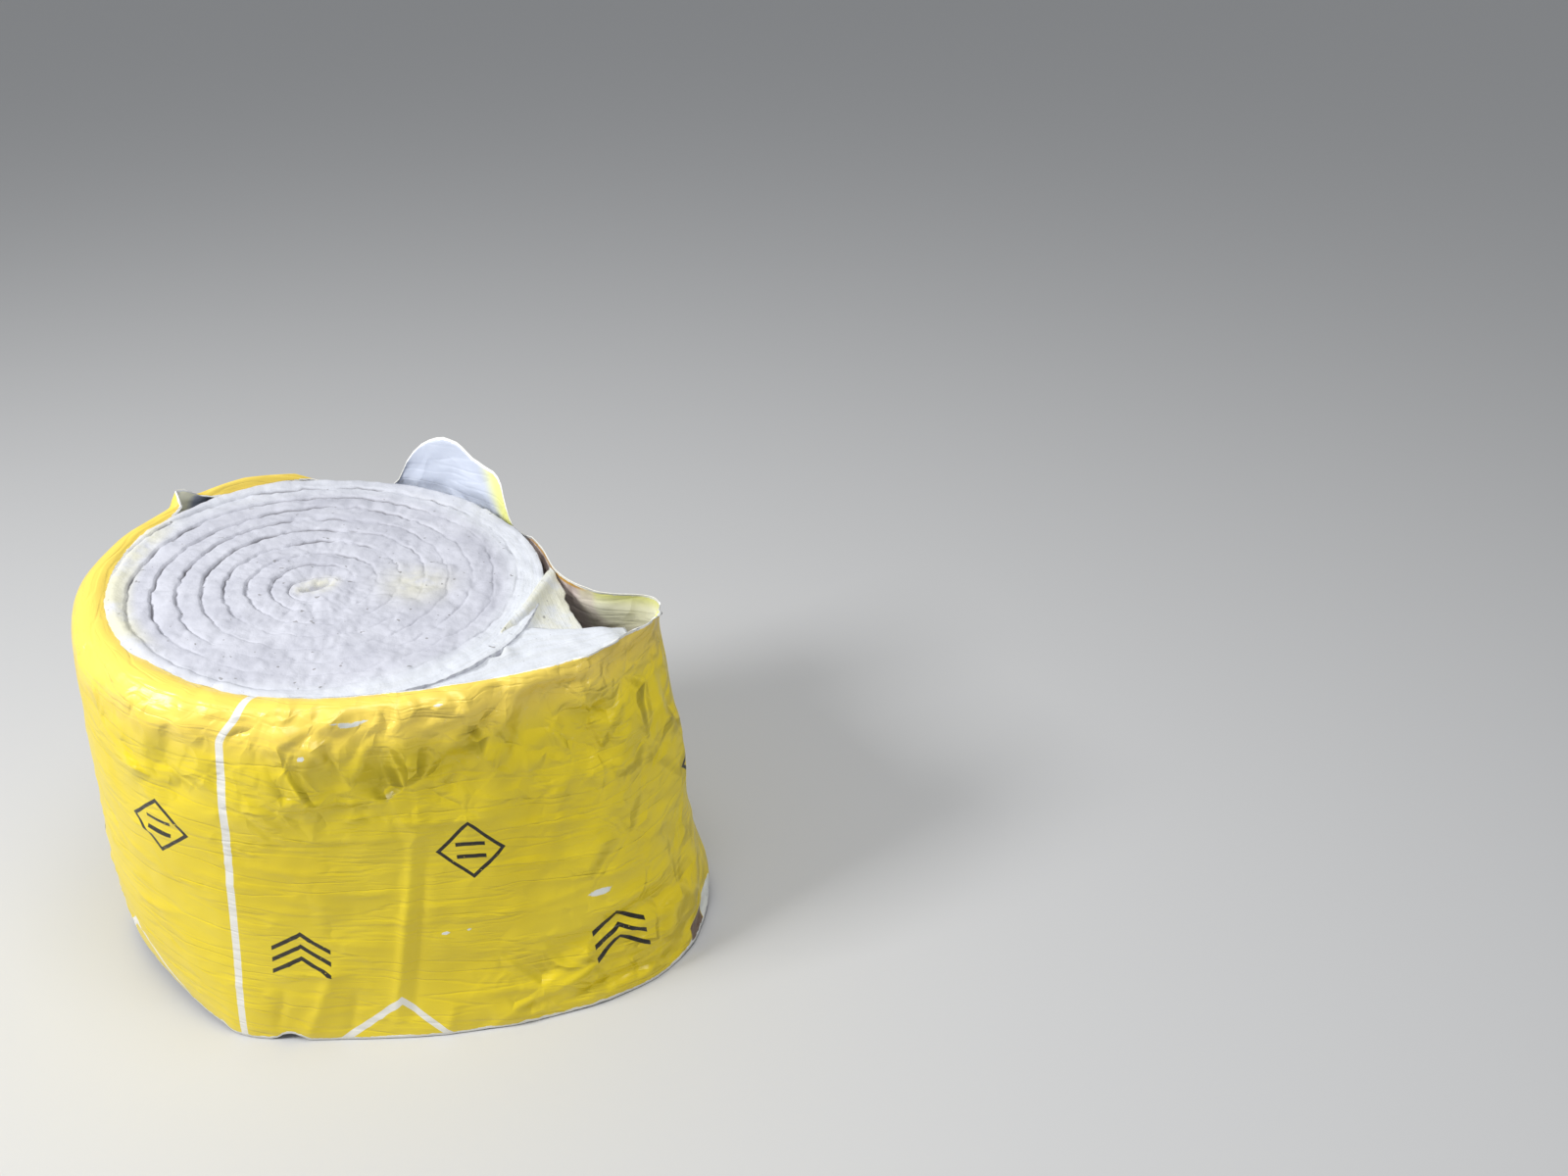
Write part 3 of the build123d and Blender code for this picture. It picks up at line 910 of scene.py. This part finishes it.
def loose_end():
    where = np.linspace(0, len(TAIL_OUTER) - 1, 71)
    share = np.linspace(1, 0, 19)[:, None]
    outer = smooth_through(range(len(TAIL_OUTER)), TAIL_OUTER, where)
    inner = smooth_through(range(len(TAIL_INNER)), TAIL_INNER, where)
    spots = outer + (inner - outer) * share[..., None]
    solid = np.concatenate((spots, 0 * spots[..., :1]), axis=-1)
    level = -4.0 + 1.8 * lumps(solid, 34, 81) + 1.2 * lumps(solid, 12, 82) + 0.7 * lumps(solid, 6, 83)
    level = level - 9 * step(0.16, 0, share) ** 2 - 6 * step(6, 7, where)
    level = level - 4 * step(0.85, 1, share) ** 2 * step(3.6, 5, where)
    from_pit = np.linalg.norm((spots - PIT) * (0.8, 1.2), axis=-1)
    level = level - 16 * step(15, 5, from_pit) + 2 * bell(from_pit - 17, 5)
    streaks = np.stack((where * 0.04 + 0 * share, share * 0.06 + 0 * where), axis=-1)
    return wool_pad("wool_loose_end", spots, ROLL_HEIGHT + level, gap=0 * level, strand=0 * level + 1,
                    warm=0.55 * bell(from_pit - 6, 8), streaks=streaks)


# Wool: a torn layer that spans from the roll's rim to the loose end, over the hollow behind

LEAF_RIM = [(186, -66, 0), (193, -47, 2.5), (202, -22, 3.0), (211, 27, 3.0), (217, 60, 1)]
LEAF_LOW = [(196, -86, -7), (216, -76, -9), (236, -68, -11), (256, -60, -12), (272, -50, -12)]
TORN_THICKNESS = 0.004


def torn_layer():
    where = np.linspace(0, len(LEAF_RIM) - 1, 45)
    share = np.linspace(1, 0, 33)[:, None]
    rim = smooth_through(range(len(LEAF_RIM)), LEAF_RIM, where)
    low = smooth_through(range(len(LEAF_LOW)), LEAF_LOW, where)
    leaf = rim + (low - rim) * share[..., None]
    solid = leaf * (1, 1, 0)
    frayed = step(3.4, 4, where) * 3.5 * lumps(solid, 9, 92)
    leaf[..., :2] += frayed[..., None] * (1, 0.6)
    leaf[..., 2] += 1.6 * lumps(solid, 24, 93) + 0.5 * lumps(solid, 7, 94) - 5 * np.sin(np.pi * share)
    leaf[..., 2] += 3.5 * bell(share - 0.1, 0.07) * step(0.4, 2, where)
    everywhere = 0 * leaf[..., 0]
    streaks = np.stack((share * 0.06 + 0 * where, where * 0.03 + 0 * share), axis=-1)
    piece = laid_grid("wool_torn_layer", in_room(leaf[..., :2], ROLL_HEIGHT + leaf[..., 2]), gap=everywhere,
                      strand=everywhere + 1, warm=everywhere + 0.8, streaks=streaks)
    bpy.ops.object.shade_smooth()
    return modified(piece, "SOLIDIFY", thickness=TORN_THICKNESS, offset=0)


wool, tail, torn_leaf = wound_blanket(), loose_end(), torn_layer()


# Wool: its finish

def wool_finish():
    finish = Finish("glass_wool_white")
    place = finish.place()
    streaks = finish.node("UVMap", {"uv_map": "streaks"})
    gap = finish.mark("gap")
    soft = finish.noise(place, 26.0, 4.0, 0.6)
    clumps = finish.noise(place, 75.0, 3.0, 0.6)
    fibres = finish.noise(place, 330.0, 3.0, 0.7)
    strands = finish.noise(streaks, 190.0, 4.0, 0.65, stretch=(0.1, 1.0, 1.0))
    specks = finish.noise(place, 150.0, 1.0, 0.4).rising(0.74, 0.78)
    base = finish.mix(soft.rising(0.3, 0.72), colour(202, 203, 212), colour(184, 185, 195))
    base = finish.mix(finish.mark("strand") * 0.8, base, colour(226, 230, 236))
    base = finish.mix(strands.rising(0.42, 0.62) * finish.mark("strand") * 0.4, base, colour(206, 208, 208))
    # Cream patches, and painted yellow bounce light from the film near its lip
    base = finish.mix(finish.mark("warm") * soft.rising(0.3, 0.6) * 0.75, base, colour(226, 222, 186))
    # Painted shade darkens the gaps between the turns
    base = finish.mix(gap.rising(0.12, 0.8) * 0.8, base, colour(104, 102, 108))
    base = finish.mix(specks * 0.6, base, colour(112, 108, 104))
    normal = finish.bump(soft, 0.4, 0.003)
    normal = finish.bump(clumps, 0.35, 0.0022, normal)
    normal = finish.bump(strands * finish.mark("strand"), 0.7, 0.0016, normal)
    normal = finish.bump(fibres, 0.6, 0.0007, normal)
    return finish.surface(Base_Color=base, Roughness=0.95, Normal=normal)


wool_look = wool_finish()
for body in (wool, tail, torn_leaf):
    body.data.materials.append(wool_look)


# Stage and light

bpy.ops.mesh.primitive_plane_add(size=30, location=(0, 0, 0))
floor = bpy.context.object
floor.name = "floor"
floor.data.materials.append(Finish("floor_pale").surface(Base_Color=colour(205, 205, 205), Roughness=0.9))

world = bpy.data.worlds.new("soft_sky")
bpy.context.scene.world = world
world.use_nodes = True
world.node_tree.nodes["Background"].inputs[0].default_value = (0.93, 0.96, 1.0, 1.0)
world.node_tree.nodes["Background"].inputs[1].default_value = 0.36

# Each lamp: its name, place, size and watts
LAMPS = [("lamp_left", (-1.85, -1.1, 2.2), 0.8, 66), ("lamp_above", (0.5, -0.7, 2.7), 1.2, 30)]
LIT_PLACE = np.array((0.0, 0.0, 0.25))
for name, place, size, watts in LAMPS:
    bpy.ops.object.light_add(type="AREA", location=place)
    lamp = bpy.context.object
    lamp.name = name
    lamp.data.size = size
    lamp.data.energy = watts
    aim = LIT_PLACE - np.array(place)
    tilt = math.atan2(math.hypot(aim[0], aim[1]), -aim[2])
    lamp.rotation_euler = (tilt, 0, math.atan2(aim[1], aim[0]) - math.pi / 2)

bpy.context.scene.view_settings.view_transform = "Standard"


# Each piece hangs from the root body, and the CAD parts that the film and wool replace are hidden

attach(film, "root")
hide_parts("film_wrap")
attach(wool, "root")
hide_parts("wool_blanket")
for body, fullness in ((tail, 0.7), (torn_leaf, 0.2)):
    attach(body, "root")
